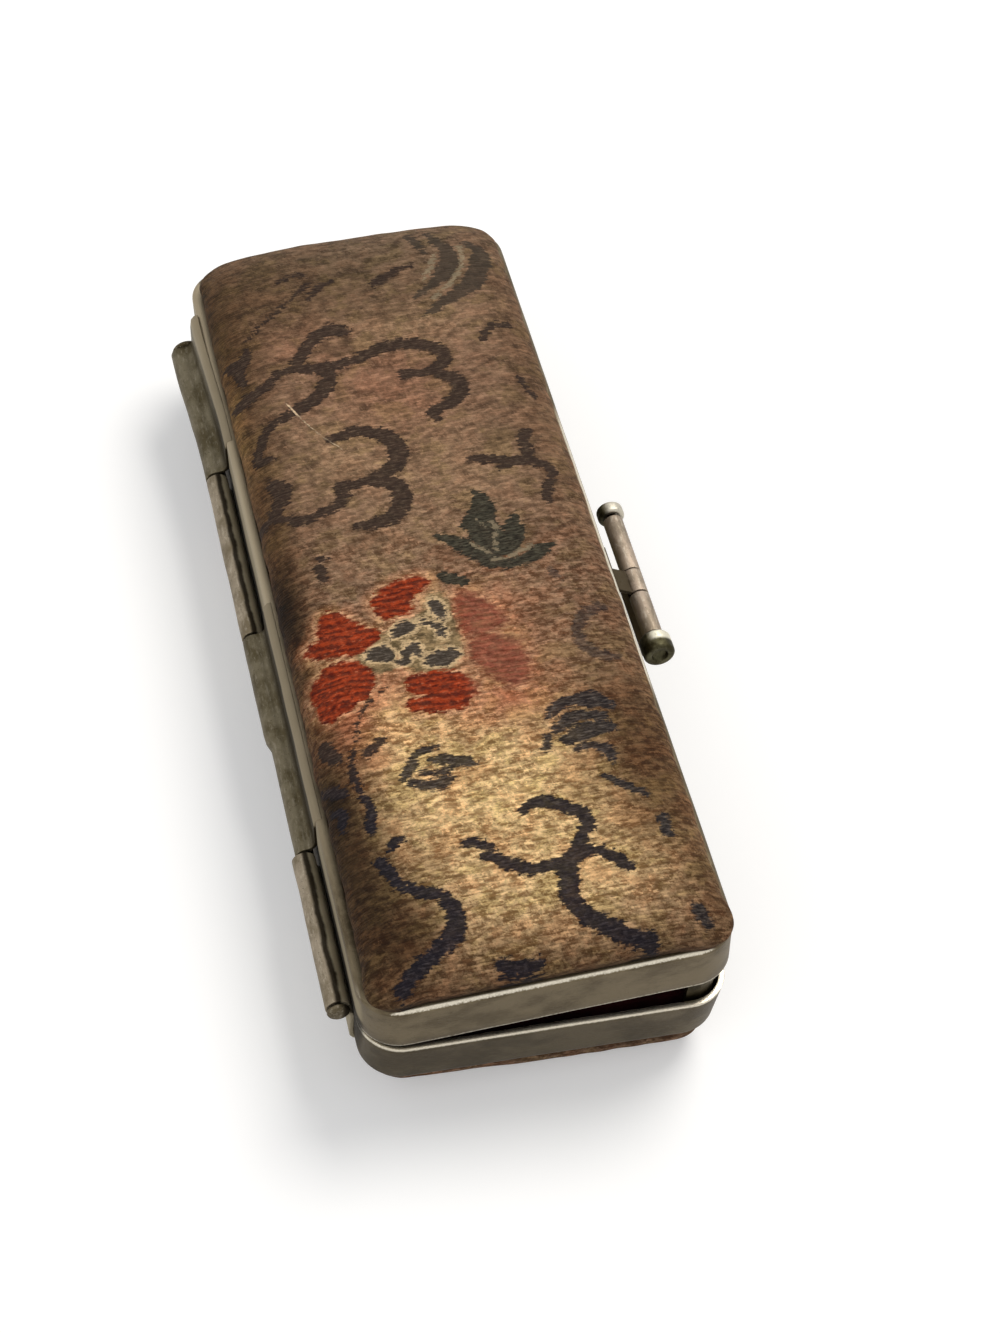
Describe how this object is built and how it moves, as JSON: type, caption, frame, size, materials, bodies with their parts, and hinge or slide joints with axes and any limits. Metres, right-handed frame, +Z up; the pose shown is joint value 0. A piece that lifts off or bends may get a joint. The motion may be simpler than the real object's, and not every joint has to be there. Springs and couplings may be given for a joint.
{
  "type": "seal box",
  "caption": "Slim hinged case for a personal seal: padded brocade shells crimped in dull metal bands, a knuckle hinge on one long side and a bar clasp on the other.",
  "frame": {"origin": "middle of the flat underside of the base, where the case rests", "axes": "+Z up; +X from the hinge side to the clasp side; +Y along the case to the end that holds the ink dish"},
  "size_m": [0.0364, 0.085, 0.0196],
  "materials": {
    "band_metal": "nickel silver sheet, dull olive grey with bright worn edges",
    "worn_metal": "nickel silver, rubbed a little brighter by handling",
    "brocade": "woven brocade with raised weft floats, flower and arabesque",
    "wadding": "thin cotton wadding",
    "card": "pressed card",
    "flocked_tray": "moulded and flocked, dark wine red",
    "dish_brass": "turned brass cup",
    "vermilion_pad": "felt pad soaked with vermilion paste"
  },
  "bodies": {
    "base": {"base_frame": "band_metal", "base_shell": "card", "base_padding": "wadding", "base_brocade": "brocade", "base_inner_strip": "band_metal", "base_tray": "flocked_tray", "ink_dish": "dish_brass", "ink_pad": "vermilion_pad", "base_knuckle_far": "worn_metal", "base_knuckle_near": "worn_metal", "hinge_pin": "worn_metal", "base_catch": "band_metal"},
    "lid": {"lid_frame": "band_metal", "lid_shell": "card", "lid_padding": "wadding", "lid_brocade": "brocade", "lid_liner": "flocked_tray", "lid_knuckle_far": "worn_metal", "lid_knuckle_near": "worn_metal", "clasp_bracket": "band_metal"},
    "latch": {"latch_lever": "worn_metal", "latch_pin": "worn_metal", "latch_far_cap": "worn_metal", "latch_near_cap": "worn_metal"}
  },
  "joints": [
    {"name": "lid_hinge", "type": "hinge", "parent": "base", "child": "lid", "pos_m": [-0.01627, 0, 0.0087], "axis": [0, -1, 0], "range_deg": [-5.5, 114.5]},
    {"name": "latch_hinge", "type": "hinge", "parent": "lid", "child": "latch", "pos_m": [0.01779, 0, 0.01097], "axis": [0, -1, 0], "range_deg": [-22, 23]}
  ]
}
